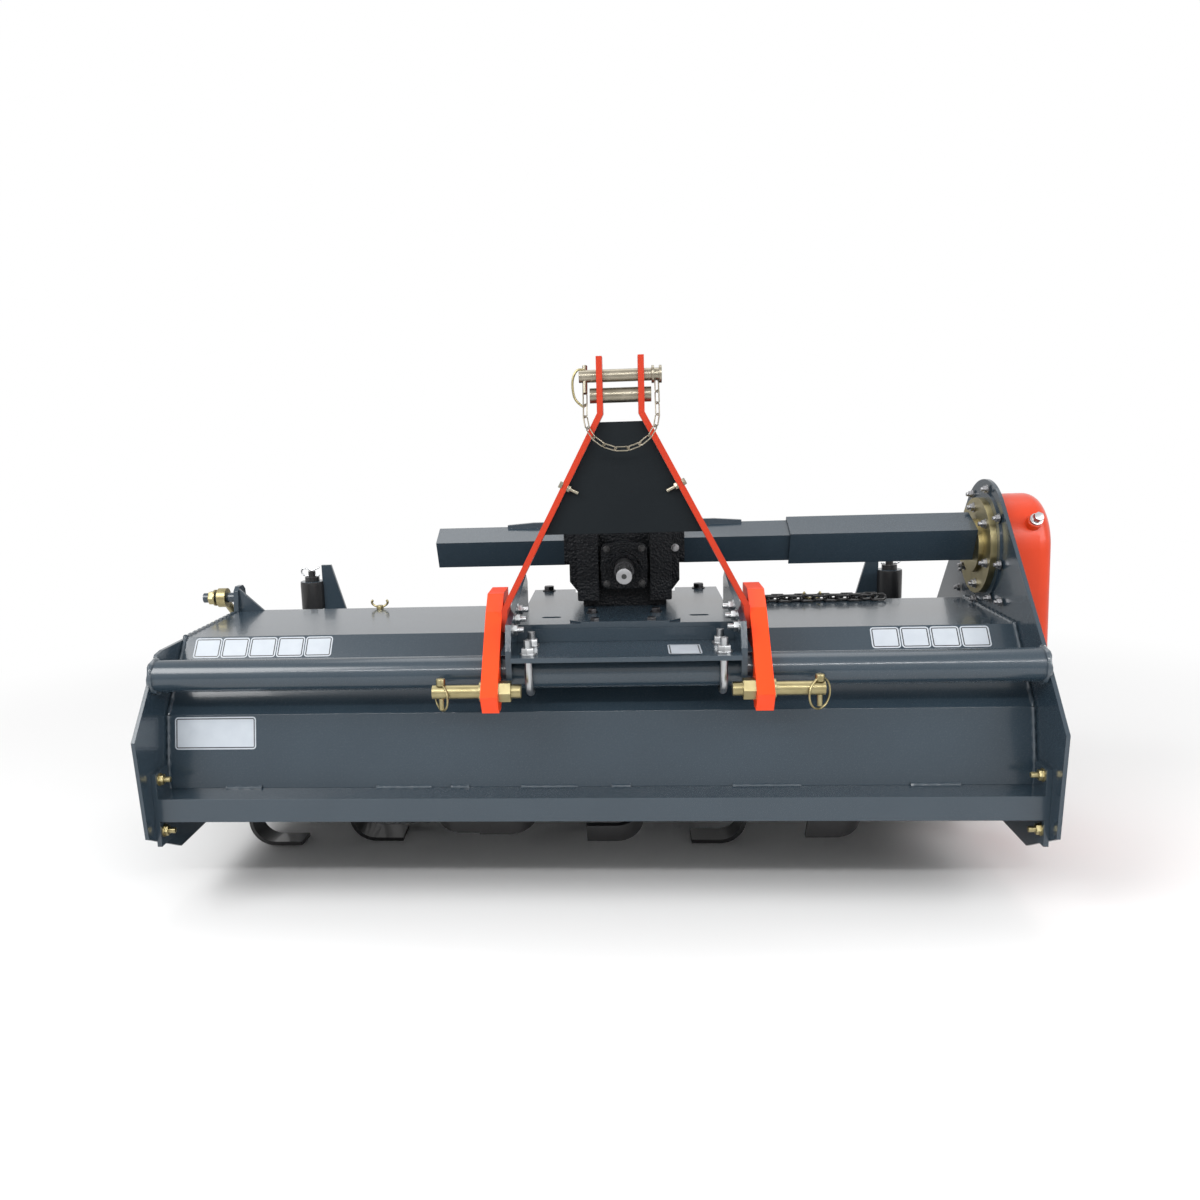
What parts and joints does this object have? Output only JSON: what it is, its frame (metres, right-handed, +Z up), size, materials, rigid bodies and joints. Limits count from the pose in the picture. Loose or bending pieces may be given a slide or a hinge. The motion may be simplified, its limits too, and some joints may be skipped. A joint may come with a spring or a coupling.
{
  "type": "tractor-mounted stone burier",
  "caption": "Tractor-mounted stone burier: side-driven tined rotor under a folded hood, stone grid, levelling board, cage roller and an offset three-point hitch with bevel gearbox.",
  "frame": {"origin": "centre of the machine's footprint on the floor", "axes": "+X to the right seen from the tractor, +Y rearward, +Z up"},
  "size_m": [2.06, 1.2899, 1.1499],
  "materials": {
    "slate_paint": "glossy slate grey paint with orange peel",
    "orange_paint": "glossy orange paint",
    "zinc": "yellow zinc plating",
    "cast_iron": "black paint on rough casting",
    "charcoal": "charcoal paint",
    "black_paint": "black paint",
    "steel": "machined steel"
  },
  "bodies": {
    "frame": {"side_plate_left": "slate_paint", "side_plate_right": "slate_paint", "hood": "slate_paint", "front_bar": "slate_paint", "round_beam": "slate_paint", "rear_beam": "slate_paint", "stone_grid": "slate_paint", "post_guide_left": "slate_paint", "post_guide_right": "slate_paint", "rotor_bearings": "slate_paint", "roller_arm_left": "slate_paint", "roller_arm_right": "slate_paint", "adjuster_lug_left": "slate_paint", "adjuster_lug_right": "zinc", "adjuster_left": "zinc", "adjuster_right": "zinc", "drive_flange": "zinc", "shaft_tube_left": "slate_paint", "shaft_tube_right": "slate_paint", "drive_guard": "slate_paint", "drive_case": "orange_paint", "gearbox": "cast_iron", "saddle": "slate_paint", "cross_bar": "slate_paint", "base_plate": "slate_paint", "hitch_cheek_left": "slate_paint", "hitch_cheek_right": "slate_paint", "u_bolts": "zinc", "lower_arm_left": "orange_paint", "lower_arm_right": "orange_paint", "lower_pin_left": "zinc", "lower_pin_right": "zinc", "mast_strap_left": "orange_paint", "mast_strap_right": "orange_paint", "top_pin": "zinc", "mast_spacer": "zinc", "mast_shield": "charcoal", "deck_chain": "steel", "pin_chain": "steel"},
    "rotor": {"rotor": "black_paint"},
    "pto": {"pto_shaft": "steel"},
    "levelling": {"levelling_board": "slate_paint", "levelling_post_left": "slate_paint", "levelling_post_right": "slate_paint"},
    "roller": {"roller": "black_paint"}
  },
  "joints": [
    {"name": "rotor_spin", "type": "hinge", "parent": "frame", "child": "rotor", "pos_m": [0, -0.155, 0.235], "axis": [1, 0, 0], "continuous": true},
    {"name": "pto_spin", "type": "hinge", "parent": "frame", "child": "pto", "pos_m": [0.084, -0.395, 0.704], "axis": [0, 1, 0], "continuous": true},
    {"name": "levelling_slide", "type": "slide", "parent": "frame", "child": "levelling", "axis": [0, 0, 1], "range_m": [0, 0.12]},
    {"name": "roller_spin", "type": "hinge", "parent": "frame", "child": "roller", "pos_m": [0, 0.485, 0.16], "axis": [1, 0, 0], "continuous": true}
  ],
  "couplings": [
    {"joint": "pto_spin", "follows": "rotor_spin", "ratio": 2.25}
  ]
}
